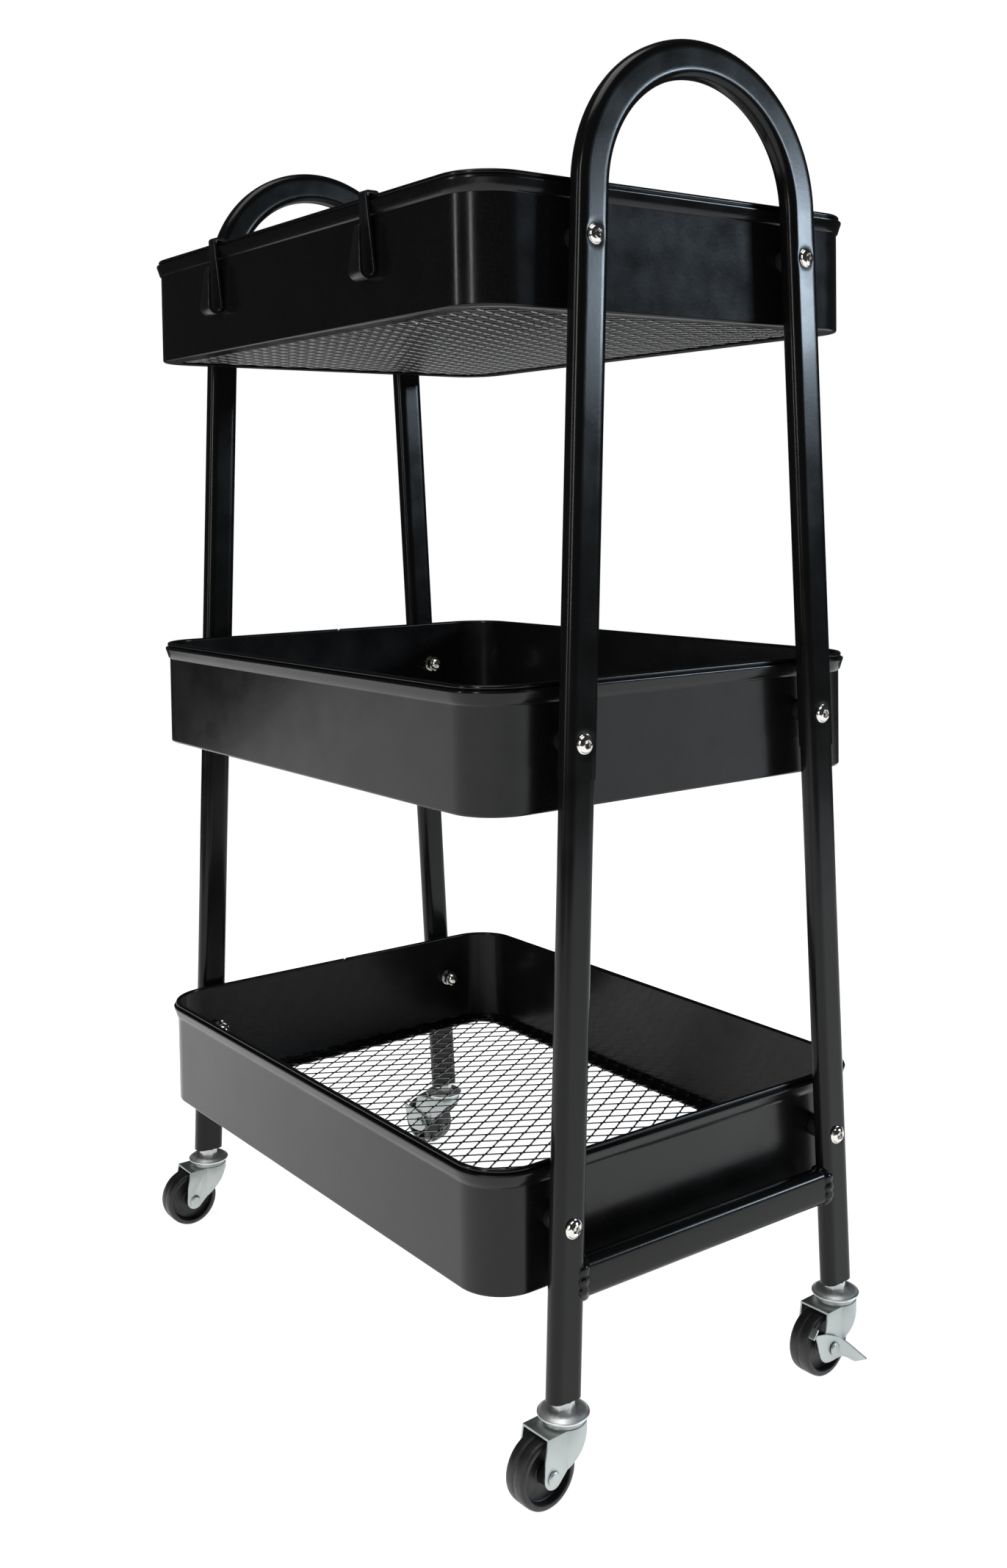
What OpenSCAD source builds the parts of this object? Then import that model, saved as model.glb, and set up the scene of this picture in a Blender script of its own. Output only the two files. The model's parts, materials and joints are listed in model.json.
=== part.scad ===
// Three-tier rolling utility cart: three sheet-metal trays with mesh floors, bolted between
// two tube end frames that stand on swivel casters. X is the long side, Z is up, and the
// origin is the middle of the stance, on the floor.

/* [Trays] */
// Outside length of a tray wall
tray_l = 400; // [340:5:460]
// Outside width of a tray wall
tray_w = 288; // [280:4:340]
// Height of a tray, rim included
tray_h = 70.5; // [60:0.5:90]
// Outside corner radius of a tray wall
tray_r = 28; // [26:1:32]
// Thickness of the tray sheet
sheet = 1; // [0.8:0.1:1.4]
// Width of the flange that carries the mesh floor
flange_w = 13; // [8:1:20]
// Thickness of the mesh floor
mesh_t = 1; // [0.8:0.1:2]
// Height of the flared band below the rim bead
band_h = 11; // [8:0.5:14]
// How far the rim stands out from the wall
rim_out = 3; // [2:0.1:4]
// Underside of the lowest tray above the floor
tray_z = 106.5; // [100:0.5:130]
// Rise from the lowest tray to the middle one
low_step = 257.5; // [220:0.5:300]
// Rise from the middle tray to the top one
high_step = 268; // [220:0.5:300]

/* [End frames] */
// Distance of an end frame's middle plane from the cart's middle
frame_x = 213; // [213:0.5:213]
// Long side of the upper tube's section
tube_w = 21.5; // [20:0.5:24]
// Short side of the upper tube's section
tube_d = 12.5; // [12:0.5:14]
// Corner radius of the tube's section
tube_r = 5; // [3:0.5:5.5]
// Wall thickness of the tubes
tube_t = 1; // [0.8:0.1:1.2]
// How much smaller the lower tube's section is
lower_less = 1; // [0.6:0.1:1.2]
// Height of the top of the handle
handle_top = 783.5; // [770:0.5:800]
// Half distance between the legs at the middle bolts
leg_y = 91.2; // [88:0.2:94]
// Lean of each leg from upright, in degrees
leg_lean = 2.5; // [2:0.1:3]
// Bolt height above a tray's underside
bolt_up = 38; // [30:0.5:45]
// Distance from the middle bolts down to the joint in each leg
seam_down = 19; // [16:0.5:24]
// Length of the neck that plugs into the upper tube
neck_l = 34; // [30:1:40]
// Lower end of the legs above the floor
leg_end = 52; // [52:0.5:56]
// Height of the crossbar's middle line
bar_z = 113.5; // [108:0.5:120]

/* [Fasteners] */
// Bolt diameter
bolt_d = 6; // [5:0.5:6]
// Bolt head diameter
head_d = 11; // [10:0.5:12]
// Bolt head height
head_h = 3.2; // [2.5:0.1:4]
// Across-flats size of the hexagon socket
socket_af = 4; // [3:0.5:4]
// Across-flats size of the acorn nut
nut_af = 10; // [9:0.5:11]
// Washer diameter
washer_d = 12; // [11:0.5:13]

/* [Casters] */
// Wheel diameter
wheel_d = 38; // [37:0.5:38.2]
// Wheel tread width
wheel_w = 14.5; // [12:0.5:15]
// Distance of the axle from the swivel axis
trail = 16.5; // [14:0.5:17]
// Inner width of the fork
fork_w = 19; // [19:0.2:20]
// Thickness of the fork's sheet
fork_t = 1.2; // [1:0.1:1.4]
// Diameter of the upper race disc
disc_d = 28.8; // [26:0.2:29.2]
// Axle diameter
axle_d = 5; // [4:0.5:5]
// Stem diameter
stem_d = 8; // [7:0.5:8]

/* [Hooks] */
// Width of a hook's strap at the rim
hook_w = 8; // [7:0.5:10]
// Width of a hook's curl
curl_w = 13; // [11:0.5:15]
// Thickness of a hook's strap
hook_t = 2.2; // [2:0.1:2.6]
// Height of a hook, over all
hook_h = 50; // [46:1:56]
// Outer radius of a hook's curl
curl_r = 5.6; // [5:0.1:6]
// How far a hook's tip rises above the middle of its curl
tip_rise = 25; // [20:1:30]
// Width of a hook's tip
tip_w = 5; // [4:0.5:8]

/* [Hidden] */
$fn = 48;

// Levels: the underside of each tray and the height of its bolts
tray_zs = [tray_z, tray_z + low_step, tray_z + low_step + high_step];
bolt_zs = [for (z = tray_zs) z + bolt_up];
floor_up = sheet + mesh_t;

// Legs: half distance between them at any height, and the joint between upper and lower tube
function leg_at(z) = leg_y + (bolt_zs[1] - z) * tan(leg_lean);
seam_z = bolt_zs[1] - seam_down;
lower_w = tube_w - lower_less;
lower_d = tube_d - lower_less;
// Radial gap that lets one tube or shank slide into another
slip = 0.1;

// Handle arc: it touches both leaning legs, and its crown is at the top of the handle
crown_z = handle_top - tube_w / 2;
arc_r = (leg_at(crown_z) * cos(leg_lean)) / (1 - sin(leg_lean));
arc_z = crown_z - arc_r;
arc_end_z = arc_z + arc_r * sin(leg_lean);

// Bolt stack, counted outwards from the tray's end wall
wall_x = tray_l / 2;
tube_in_x = frame_x - tube_d / 2;
tube_out_x = frame_x + tube_d / 2;
bolt_r = bolt_d / 2;
washer_t = 1.2;
nut_h = 5;

// Caster heights above the floor
wheel_r = wheel_d / 2;
plate_z = wheel_d + 1.4;
boss_z = 43;
disc_z = 43.6;
dome_z = 47.4;
collar_z = 51.4;
stem_top = 78;
ball_r = 1.2;
ball_ring_r = 9.4;
fork_out = fork_w / 2 + fork_t;
skirt_r = 12.7;
axle_r = axle_d / 2;
lever_gap = 0.4;
lever_t = 1.2;
// Where the casters stand, and how far each one is swivelled from trailing towards the front
caster_y = leg_at(leg_end);
turn_front_left = 0;
turn_rear_left = 288;
turn_front_right = 3;
turn_rear_right = 3;

// Hooks: places along the front rim
hook_x_left = -88;
hook_x_right = 100;
rim_y = tray_w / 2 + rim_out;
rim_top = tray_zs[2] + tray_h;

// ---- shared shapes ----

// Rectangle with true round corners, centred
module rounded(w, d, r) {
    square([w - 2 * r, d], center = true);
    square([w, d - 2 * r], center = true);
    for (x = [-1, 1], y = [-1, 1])
        translate([x * (w / 2 - r), y * (d / 2 - r)]) circle(r);
}

// Hollow tube section, w along X and d along Y
module tube_section(w, d, r, t) {
    difference() {
        rounded(w, d, r);
        rounded(w - 2 * t, d - 2 * t, r - t);
    }
}

// Stands a section on a leg's line from z0 to z1; side is -1 for the front leg and 1 for the rear
module along_leg(side, z0, z1) {
    translate([0, side * leg_at(z0), z0]) rotate([side * leg_lean, 0, 0]) rotate([0, 0, 90])
        linear_extrude((z1 - z0) / cos(leg_lean)) children();
}

// Copies its children to both legs of one end; end is -1 for the left end and 1 for the right
module at_bolts(level, ends = [-1, 1]) {
    for (end = ends, side = [-1, 1])
        translate([0, side * leg_at(bolt_zs[level]), bolt_zs[level]])
            rotate([0, 0, end < 0 ? 180 : 0]) rotate([0, 90, 0]) children();
}

// ---- end frames ----

module bolt_holes(levels) {
    for (level = levels, side = [-1, 1])
        translate([-tube_d, side * leg_at(bolt_zs[level]), bolt_zs[level]])
            rotate([0, 90, 0]) cylinder(r = bolt_r + slip, h = 2 * tube_d);
}

// Bent bow with a straight leg let into each end of it
module handle_arch() {
    inset = 0.03;
    let_in = 0.6;
    difference() {
        union() {
            translate([0, 0, arc_z]) rotate([90, 0, 90]) rotate([0, 0, leg_lean])
                rotate_extrude(angle = 180 - 2 * leg_lean)
                    translate([arc_r, 0]) tube_section(tube_w, tube_d, tube_r, tube_t);
            for (side = [-1, 1])
                along_leg(side, seam_z, arc_end_z + let_in)
                    tube_section(
                        tube_w - 2 * inset, tube_d - 2 * inset, tube_r - inset, tube_t - 2 * inset
                    );
        }
        bolt_holes([1, 2]);
    }
}

module lower_leg(side) {
    neck_w = tube_w - 2 * tube_t - 2 * slip;
    neck_d = tube_d - 2 * tube_t - 2 * slip;
    difference() {
        union() {
            along_leg(side, leg_end, seam_z) tube_section(lower_w, lower_d, tube_r, tube_t);
            along_leg(side, seam_z - 3, seam_z + neck_l)
                tube_section(neck_w, neck_d, tube_r - tube_t, tube_t);
        }
        bolt_holes([0, 1]);
    }
}

// Bar between the lower legs, its ends cut to the legs' lean and welded to them
module crossbar() {
    reach = leg_at(bar_z);
    difference() {
        translate([0, reach, bar_z]) rotate([90, 0, 0])
            linear_extrude(2 * reach) tube_section(lower_d, tube_w, tube_r, tube_t);
        for (side = [-1, 1])
            translate([0, side * reach, bar_z]) rotate([side * leg_lean, 0, 0])
                translate([0, side * (tube_w - lower_w / 2), 0]) cube(2 * tube_w, center = true);
    }
}

// Plugs that hold the caster stems in the legs' lower ends
module caster_sockets() {
    color("dimgray")
        for (end = [-1, 1], side = [-1, 1])
            translate([end * frame_x, 0, 0])
                difference() {
                    along_leg(side, leg_end, leg_end + 24)
                        rounded(lower_w - 2 * tube_t, lower_d - 2 * tube_t, tube_r - tube_t);
                    translate([0, side * caster_y, 0]) cylinder(d = stem_d + 2 * slip, h = 2 * leg_end);
                }
}

// ---- trays ----

// Section of a tray's wall: flange, wall, flared band and rim bead; x counts out from the wall
module tray_section() {
    bead_r = 1.3;
    translate([-flange_w, 0]) square([flange_w, sheet]);
    translate([-sheet, 0]) square([sheet, tray_h - bead_r]);
    polygon([
        [-sheet / 2, tray_h - band_h], [0, tray_h - band_h], [1.1, tray_h - band_h + 1],
        [rim_out, tray_h - 4.5], [rim_out, tray_h - 3], [0.4, tray_h - 2.2], [-sheet / 2, tray_h - 2.2]
    ]);
    translate([-sheet + bead_r, tray_h - bead_r]) circle(bead_r);
}

module tray_shell(level) {
    color("#232526")
        difference() {
            translate([0, 0, tray_zs[level]])
                for (sx = [0, 1], sy = [0, 1]) mirror([sx, 0, 0]) mirror([0, sy, 0]) tray_quarter();
            at_bolts(level) translate([0, 0, wall_x - 2]) cylinder(r = bolt_r + slip, h = 4);
        }
}

// One quarter of a tray: half an end wall, a round corner and half a long wall
module tray_quarter() {
    cx = tray_l / 2 - tray_r;
    cy = tray_w / 2 - tray_r;
    translate([cx, cy, 0]) rotate_extrude(angle = 90, $fn = 64) translate([tray_r, 0]) tray_section();
    translate([cx + tray_r, cy, 0]) rotate([90, 0, 0]) linear_extrude(cy) tray_section();
    translate([0, cy + tray_r, 0]) rotate([90, 0, 90]) linear_extrude(cx) tray_section();
}

// Floor sheet, lying on the flange inside the wall
module mesh_floor(level) {
    gap = 0.5;
    color("#1d1f20")
        translate([0, 0, tray_zs[level] + sheet])
            linear_extrude(mesh_t)
                rounded(tray_l - 2 * (sheet + gap), tray_w - 2 * (sheet + gap), tray_r - sheet - gap);
}

// ---- fasteners ----

// Button-head socket bolt along Z, counted from the cart's middle plane outwards
module tray_bolts(level) {
    shank_in = wall_x - sheet - washer_t - nut_h;
    color("silver")
        at_bolts(level) {
            difference() {
                union() {
                    translate([0, 0, shank_in]) cylinder(r = bolt_r, h = tube_out_x - shank_in + 0.5);
                    translate([0, 0, tube_out_x]) cylinder(d = head_d, h = 0.9);
                    translate([0, 0, tube_out_x + 0.9])
                        cylinder(d1 = head_d - 1.2, d2 = head_d * 0.62, h = head_h - 0.9);
                }
                translate([0, 0, tube_out_x + head_h - 2])
                    cylinder(d = socket_af / cos(30), h = 3, $fn = 6);
            }
        }
}

module acorn_nuts(level) {
    face_x = wall_x - sheet - washer_t;
    dome_r = nut_af / 2 - 0.3;
    color("silver")
        at_bolts(level)
            difference() {
                union() {
                    translate([0, 0, face_x - nut_h]) cylinder(d = nut_af / cos(30), h = nut_h, $fn = 6);
                    translate([0, 0, face_x - nut_h]) sphere(dome_r);
                }
                translate([0, 0, face_x - nut_h - 0.5]) cylinder(r = bolt_r + 0.02, h = nut_h + 1);
                translate([0, 0, face_x]) cylinder(r = nut_af, h = nut_af);
            }
}

module nut_washers() {
    color("silver")
        for (level = [0:2])
            at_bolts(level) translate([0, 0, wall_x - sheet - washer_t])
                difference() {
                    cylinder(d = washer_d, h = washer_t);
                    translate([0, 0, -1]) cylinder(r = bolt_r + slip, h = washer_t + 2);
                }
}

// Sleeves that keep the tubes off the tray walls
module frame_spacers() {
    color("#1a1a1a")
        for (level = [0:2]) {
            start = wall_x;
            stop = level == 0 ? frame_x - lower_d / 2 : tube_in_x;
            at_bolts(level) translate([0, 0, start])
                difference() {
                    cylinder(d = 12, h = stop - start);
                    translate([0, 0, -1]) cylinder(r = bolt_r + slip, h = stop - start + 2);
                }
        }
}

// ---- casters, each drawn about its swivel axis and trailing towards -Y ----

module at_caster(end, side, turn) {
    translate([end * frame_x, side * caster_y, 0]) rotate([0, 0, turn]) children();
}

module torus_cut(r) {
    translate([0, 0, (boss_z + disc_z) / 2])
        rotate_extrude() translate([ball_ring_r, 0]) circle(r);
}

// Fixed part: domed race disc, hexagon collar, stem and the riveted kingpin
module caster_stem() {
    rim_r = disc_d / 2;
    color("lightgray") {
        difference() {
            union() {
                rotate_extrude($fn = 64) {
                    translate([0, disc_z]) square([rim_r - 0.8, 1.6]);
                    translate([rim_r - 0.8, disc_z + 0.8]) circle(0.8);
                    polygon([
                        [0, disc_z + 1], [rim_r - 0.8, disc_z + 1.6], [rim_r - 2.4, disc_z + 2.9],
                        [rim_r - 4.8, dome_z - 0.3], [6, dome_z], [0, dome_z]
                    ]);
                }
                cylinder(d = stem_d, h = stem_top);
            }
            torus_cut(ball_r + 0.3);
            translate([0, 0, -1]) cylinder(d = 40, h = disc_z + 1);
        }
        translate([0, 0, dome_z - 0.4]) cylinder(d = 11 / cos(30), h = collar_z - dome_z + 0.4, $fn = 6);
        translate([0, 0, plate_z + 0.4]) cylinder(r = 3, h = disc_z - plate_z);
        translate([0, 0, plate_z + 0.3]) cylinder(r = 4.6, h = 1);
    }
}

// Side outline of the fork: x is the distance along -Y from the swivel axis, y is the height
module fork_outline() {
    eye_r = 6;
    far = [trail, wheel_r];
    translate(far) circle(eye_r);
    polygon([
        [-skirt_r - 1, plate_z + fork_t], [-skirt_r - 1, plate_z - 2.2], [-9, plate_z - 3.4],
        [-4.5, 30.5], [trail - eye_r * cos(44), wheel_r - eye_r * sin(44)], far,
        [trail + eye_r, wheel_r], [trail + eye_r - 0.6, wheel_r + 10], [trail + 3, plate_z + fork_t]
    ]);
}

// Plan outline of the fork: straight at the wheel, round at the race
module fork_plan(half, round_r) {
    translate([-half, -60]) square([2 * half, 60 - sqrt(round_r * round_r - half * half)]);
    circle(round_r, $fn = 64);
}

// Turns a side outline (distance along -Y, height) into a slab across X
module across(x0, x1) {
    translate([x1, 0, 0]) rotate([90, 0, -90]) linear_extrude(x1 - x0) children();
}

module caster_fork() {
    pocket_r = 5.2;
    color("#c9cfcc")
        difference() {
            union() {
                intersection() {
                    across(-30, 30) fork_outline();
                    translate([0, 0, 5]) linear_extrude(plate_z + fork_t - 5)
                        difference() {
                            fork_plan(fork_out, skirt_r);
                            fork_plan(fork_w / 2, skirt_r - fork_t);
                        }
                }
                intersection() {
                    across(-30, 30) fork_outline();
                    translate([0, 0, plate_z]) linear_extrude(fork_t) fork_plan(fork_out, skirt_r);
                }
                translate([0, 0, plate_z]) cylinder(r = skirt_r - 0.9, h = boss_z - plate_z, $fn = 64);
            }
            torus_cut(ball_r + 0.05);
            translate([0, 0, plate_z - 1]) cylinder(r = 3.05, h = 10);
            translate([0, 0, plate_z - 1]) cylinder(r = pocket_r, h = 2.7);
            translate([-20, -trail, wheel_r]) rotate([0, 90, 0]) cylinder(r = axle_r + 0.05, h = 40);
        }
}

module caster_balls() {
    balls = 9;
    color("gainsboro")
        for (i = [0:balls - 1])
            rotate([0, 0, i * 360 / balls]) translate([ball_ring_r, 0, (boss_z + disc_z) / 2]) sphere(ball_r);
}

// Rivet through the fork; the one with a brake reaches through the lever too
module wheel_axle(braked) {
    out_x = fork_out + (braked ? lever_gap + lever_t + lever_gap : 0);
    head_r = 3.8;
    color("gainsboro")
        translate([0, -trail, wheel_r]) rotate([0, 90, 0]) {
            translate([0, 0, -fork_out - 0.8]) cylinder(r = axle_r, h = 2 * fork_out + 1.2);
            translate([0, 0, fork_out - 0.5]) cylinder(r = axle_r, h = out_x - fork_out + 1);
            translate([0, 0, out_x]) cylinder(r = head_r, h = 0.8);
            translate([0, 0, out_x + 0.8]) cylinder(r1 = head_r, r2 = head_r - 1, h = 0.6);
            translate([0, 0, -fork_out - 1.2]) cylinder(r1 = head_r - 1, r2 = head_r - 0.4, h = 1.2);
        }
}

// Wheel with a recessed web on each face and a hub that runs on the axle
module wheel() {
    edge = 1.6;
    hub_r = 5.4;
    hub_half = fork_w / 2 - 0.5;
    web_half = 2.4;
    recess_r = wheel_r - 3.6;
    color("#17181a")
        translate([0, -trail, wheel_r]) rotate([0, 90, 0])
            rotate_extrude($fn = 72) {
                translate([axle_r + 0.05, -hub_half]) square([hub_r - axle_r, 2 * hub_half]);
                translate([hub_r - 1, -web_half]) square([recess_r - hub_r + 2, 2 * web_half]);
                translate([recess_r, -wheel_w / 2]) square([wheel_r - edge - recess_r, wheel_w]);
                translate([recess_r, -wheel_w / 2 + edge]) square([wheel_r - recess_r, wheel_w - 2 * edge]);
                for (s = [-1, 1]) translate([wheel_r - edge, s * (wheel_w / 2 - edge)]) circle(edge);
            }
}

// Brake lever: a leaf on the axle, a shoe bent in over the tread and a wide foot pedal
module brake_lever() {
    x0 = fork_out + lever_gap;
    shoe_r = wheel_r + 0.6;
    color("#c4c9c7")
        translate([0, -trail, wheel_r]) {
            difference() {
                across(x0, x0 + lever_t) {
                    circle(7.4);
                    polygon([
                        [-3, 7], [3, 11], [9, 15.5], [13.4, 17.6], [15.6, 16.6], [16.6, 11], [15, 4.5],
                        [11, -1], [5, -5.4], [-4, -6.2], [-8.6, -2], [-8.4, 4]
                    ]);
                }
                rotate([0, 90, 0]) cylinder(r = axle_r + 0.05, h = 40);
            }
            // shoe over the tread
            rotate([50, 0, 0]) translate([wheel_w / 2 - 4, -3.2, shoe_r])
                cube([x0 + lever_t - wheel_w / 2 + 4, 6.4, lever_t]);
            // pedal
            hull() {
                translate([x0 + 0.2, 6.4, -6]) cube([0.8, 0.8, 10]);
                translate([x0 + 8, 15.5, -12.6]) cube([6, 0.8, 5.4]);
            }
        }
}

// ---- hooks over the front rim of the top tray ----

// Points on an arc, both ends included
function arc_points(x, y, r, a0, a1, steps) =
    [for (i = [0:steps]) let (a = a0 + (a1 - a0) * i / steps) [x + r * cos(a), y + r * sin(a)]];

// Side view of a hook: outwards along X, up along Y
module hook_side(top, in_y, out_y, low_y, curl_z) {
    tip_t = hook_t - 0.5;
    tip_lean = 2.2;
    lip_h = 9;
    mid_y = low_y + curl_r;
    tip_y = mid_y + curl_r - tip_lean;
    polygon(concat(
        // lip inside the tray, bridge over the rim and strap down the wall
        [[in_y, top], [in_y, top - lip_h], [in_y - hook_t, top - lip_h]],
        arc_points(in_y, top, hook_t, 180, 90, 5),
        arc_points(out_y, top, hook_t, 90, 0, 5),
        // inside of the curl, its long tip and its outside
        arc_points(mid_y, curl_z, curl_r - hook_t, 180, 360, 14),
        [[tip_y - tip_t, curl_z + tip_rise], [tip_y, curl_z + tip_rise]],
        arc_points(mid_y, curl_z, curl_r, 360, 180, 20),
        [[out_y, top]]
    ));
}

// Wedges that taper a hook from curl_w at z0 to w at z1, between y0 and y1 outwards
module taper(w, z0, z1, y0, y1) {
    rise = (curl_w - w) / 2 / (z1 - z0);
    for (side = [-1, 1])
        translate([0, -y0, 0]) rotate([90, 0, 0]) linear_extrude(y1 - y0)
            polygon([
                [side * curl_w / 2, z0], [side * (curl_w / 2 - rise * (z1 + 9 - z0)), z1 + 9],
                [side * (curl_w + 9), z1 + 9], [side * (curl_w + 9), z0]
            ]);
}

module hook() {
    gap = 0.4;
    in_y = tray_w / 2 - sheet - gap - 0.3;
    out_y = rim_y + gap;
    low_y = tray_w / 2 + gap;
    top = rim_top + gap;
    curl_z = top + hook_t - hook_h + curl_r;
    // plane between the strap and the tip
    split_y = low_y + curl_r + 0.6;
    color("#101112")
        difference() {
            translate([curl_w / 2, 0, 0]) rotate([90, 0, -90]) linear_extrude(curl_w)
                hook_side(top, in_y, out_y, low_y, curl_z);
            taper(hook_w, curl_z, top, in_y - 9, split_y);
            taper(tip_w, curl_z, curl_z + tip_rise, split_y, split_y + 20);
        }
}

// ---- coloured nodes ----

module arch_node(end) { color("#1f2122") translate([end * frame_x, 0, 0]) handle_arch(); }
module leg_node(end, side) { color("#2b2c2a") translate([end * frame_x, 0, 0]) lower_leg(side); }
module bar_node(end) { color("#2f302d") translate([end * frame_x, 0, 0]) crossbar(); }

arch_node(-1);  // handle_arch_left
arch_node(1);  // handle_arch_right
leg_node(-1, -1);  // lower_leg_front_left
leg_node(-1, 1);  // lower_leg_rear_left
leg_node(1, -1);  // lower_leg_front_right
leg_node(1, 1);  // lower_leg_rear_right
bar_node(-1);  // crossbar_left
bar_node(1);  // crossbar_right
tray_shell(0);  // tray_shell_bottom
tray_shell(1);  // tray_shell_middle
tray_shell(2);  // tray_shell_top
mesh_floor(0);  // mesh_floor_bottom
mesh_floor(1);  // mesh_floor_middle
mesh_floor(2);  // mesh_floor_top
tray_bolts(0);  // tray_bolts_bottom
tray_bolts(1);  // tray_bolts_middle
tray_bolts(2);  // tray_bolts_top
acorn_nuts(0);  // acorn_nuts_bottom
acorn_nuts(1);  // acorn_nuts_middle
acorn_nuts(2);  // acorn_nuts_top
nut_washers();
frame_spacers();
caster_sockets();
at_caster(-1, -1, 0) caster_stem();  // caster_stem_front_left
at_caster(-1, 1, 0) caster_stem();  // caster_stem_rear_left
at_caster(1, -1, 0) caster_stem();  // caster_stem_front_right
at_caster(1, 1, 0) caster_stem();  // caster_stem_rear_right
at_caster(-1, -1, turn_front_left) caster_fork();  // caster_fork_front_left
at_caster(-1, 1, turn_rear_left) caster_fork();  // caster_fork_rear_left
at_caster(1, -1, turn_front_right) caster_fork();  // caster_fork_front_right
at_caster(1, 1, turn_rear_right) caster_fork();  // caster_fork_rear_right
at_caster(-1, -1, 0) caster_balls();  // caster_balls_front_left
at_caster(-1, 1, 0) caster_balls();  // caster_balls_rear_left
at_caster(1, -1, 0) caster_balls();  // caster_balls_front_right
at_caster(1, 1, 0) caster_balls();  // caster_balls_rear_right
at_caster(-1, -1, turn_front_left) wheel_axle(false);  // wheel_axle_front_left
at_caster(-1, 1, turn_rear_left) wheel_axle(true);  // wheel_axle_rear_left
at_caster(1, -1, turn_front_right) wheel_axle(false);  // wheel_axle_front_right
at_caster(1, 1, turn_rear_right) wheel_axle(true);  // wheel_axle_rear_right
at_caster(-1, -1, turn_front_left) wheel();  // wheel_front_left
at_caster(-1, 1, turn_rear_left) wheel();  // wheel_rear_left
at_caster(1, -1, turn_front_right) wheel();  // wheel_front_right
at_caster(1, 1, turn_rear_right) wheel();  // wheel_rear_right
at_caster(-1, 1, turn_rear_left) brake_lever();  // brake_lever_rear_left
at_caster(1, 1, turn_rear_right) brake_lever();  // brake_lever_rear_right
translate([hook_x_left, 0, 0]) hook();  // hook_left
translate([hook_x_right, 0, 0]) hook();  // hook_right
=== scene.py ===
"""Looks for a three-tier rolling utility cart: painted sheet metal, expanded-metal floors,
zinc-plated casters and black plastic. All lengths are in metres unless a name says otherwise."""
import json
import math
import random

import bmesh
import bpy
from mathutils import Matrix, Vector


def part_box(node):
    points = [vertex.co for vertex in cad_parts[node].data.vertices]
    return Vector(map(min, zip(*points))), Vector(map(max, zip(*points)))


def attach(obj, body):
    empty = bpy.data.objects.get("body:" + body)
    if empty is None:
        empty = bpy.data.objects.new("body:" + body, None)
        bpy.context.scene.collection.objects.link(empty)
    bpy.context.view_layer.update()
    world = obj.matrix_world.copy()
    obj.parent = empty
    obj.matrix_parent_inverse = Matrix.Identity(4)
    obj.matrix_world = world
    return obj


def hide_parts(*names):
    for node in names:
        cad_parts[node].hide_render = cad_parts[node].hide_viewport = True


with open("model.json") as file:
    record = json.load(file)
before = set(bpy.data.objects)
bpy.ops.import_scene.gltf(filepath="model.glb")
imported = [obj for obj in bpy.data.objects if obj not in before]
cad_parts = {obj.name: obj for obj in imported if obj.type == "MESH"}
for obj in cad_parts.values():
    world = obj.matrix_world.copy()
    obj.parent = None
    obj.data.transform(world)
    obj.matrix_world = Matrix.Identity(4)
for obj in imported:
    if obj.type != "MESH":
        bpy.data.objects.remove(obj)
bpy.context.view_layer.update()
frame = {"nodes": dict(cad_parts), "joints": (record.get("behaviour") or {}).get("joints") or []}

MM = 0.001
ENDS = {"left": -1, "right": 1}
SIDES = {"front": -1, "rear": 1}
LEVELS = ("bottom", "middle", "top")
CORNERS = [(side, end) for end in ENDS for side in SIDES]
BRAKED = [("rear", "left"), ("rear", "right")]

# ---- sizes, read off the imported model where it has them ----

TUBE_R = 5 * MM
TUBE_WALL = 1 * MM
HEAD_R = 5.5 * MM
RIM_OUT = 3 * MM
SHEET = 1 * MM
CORNER_R = 28 * MM


def bolt_place(level):
    """(y, z) of a level's rear bolts."""
    lo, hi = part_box(f"tray_bolts_{level}")
    return hi.y - HEAD_R, (lo.z + hi.z) / 2


arch_lo, arch_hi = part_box("handle_arch_right")
bar_lo, bar_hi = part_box("crossbar_right")
leg_lo, leg_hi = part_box("lower_leg_front_right")
FRAME_X = (arch_lo.x + arch_hi.x) / 2
TUBE_D = arch_hi.x - arch_lo.x
TUBE_W = bar_hi.z - bar_lo.z
LOWER_D = leg_hi.x - leg_lo.x
LOWER_W = TUBE_W - (TUBE_D - LOWER_D)
SEAM_Z = arch_lo.z
LEG_END = leg_lo.z
low_y, low_z = bolt_place("bottom")
high_y, high_z = bolt_place("top")
LEAN = math.atan2(low_y - high_y, high_z - low_z)


def leg_at(z):
    """Half distance between an end frame's legs at height z."""
    return low_y - (z - low_z) * math.tan(LEAN)


# ---- mesh helpers ----

def finish_mesh(bm, name, smooth_angle=35):
    """Turns a bmesh into a smooth-shaded object whose sharp edges stay sharp."""
    bmesh.ops.recalc_face_normals(bm, faces=bm.faces)
    limit = math.radians(smooth_angle)
    for face in bm.faces:
        face.smooth = True
    for edge in bm.edges:
        if len(edge.link_faces) == 2 and edge.calc_face_angle(0) > limit:
            edge.smooth = False
    mesh = bpy.data.meshes.new(name)
    bm.to_mesh(mesh)
    bm.free()
    obj = bpy.data.objects.new(name, mesh)
    bpy.context.scene.collection.objects.link(obj)
    return obj


def add_loft(bm, rings, loop_path=False, loop_ring=True, caps=False):
    """Skins a list of equally long rings of points."""
    rows = [[bm.verts.new(p) for p in ring] for ring in rings]
    count = len(rows[0])
    spans = len(rows) if loop_path else len(rows) - 1
    for i in range(spans):
        a, b = rows[i], rows[(i + 1) % len(rows)]
        for j in range(count if loop_ring else count - 1):
            k = (j + 1) % count
            bm.faces.new((a[j], a[k], b[k], b[j]))
    if caps:
        bm.faces.new(rows[0])
        bm.faces.new(list(reversed(rows[-1])))
    return rows


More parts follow.
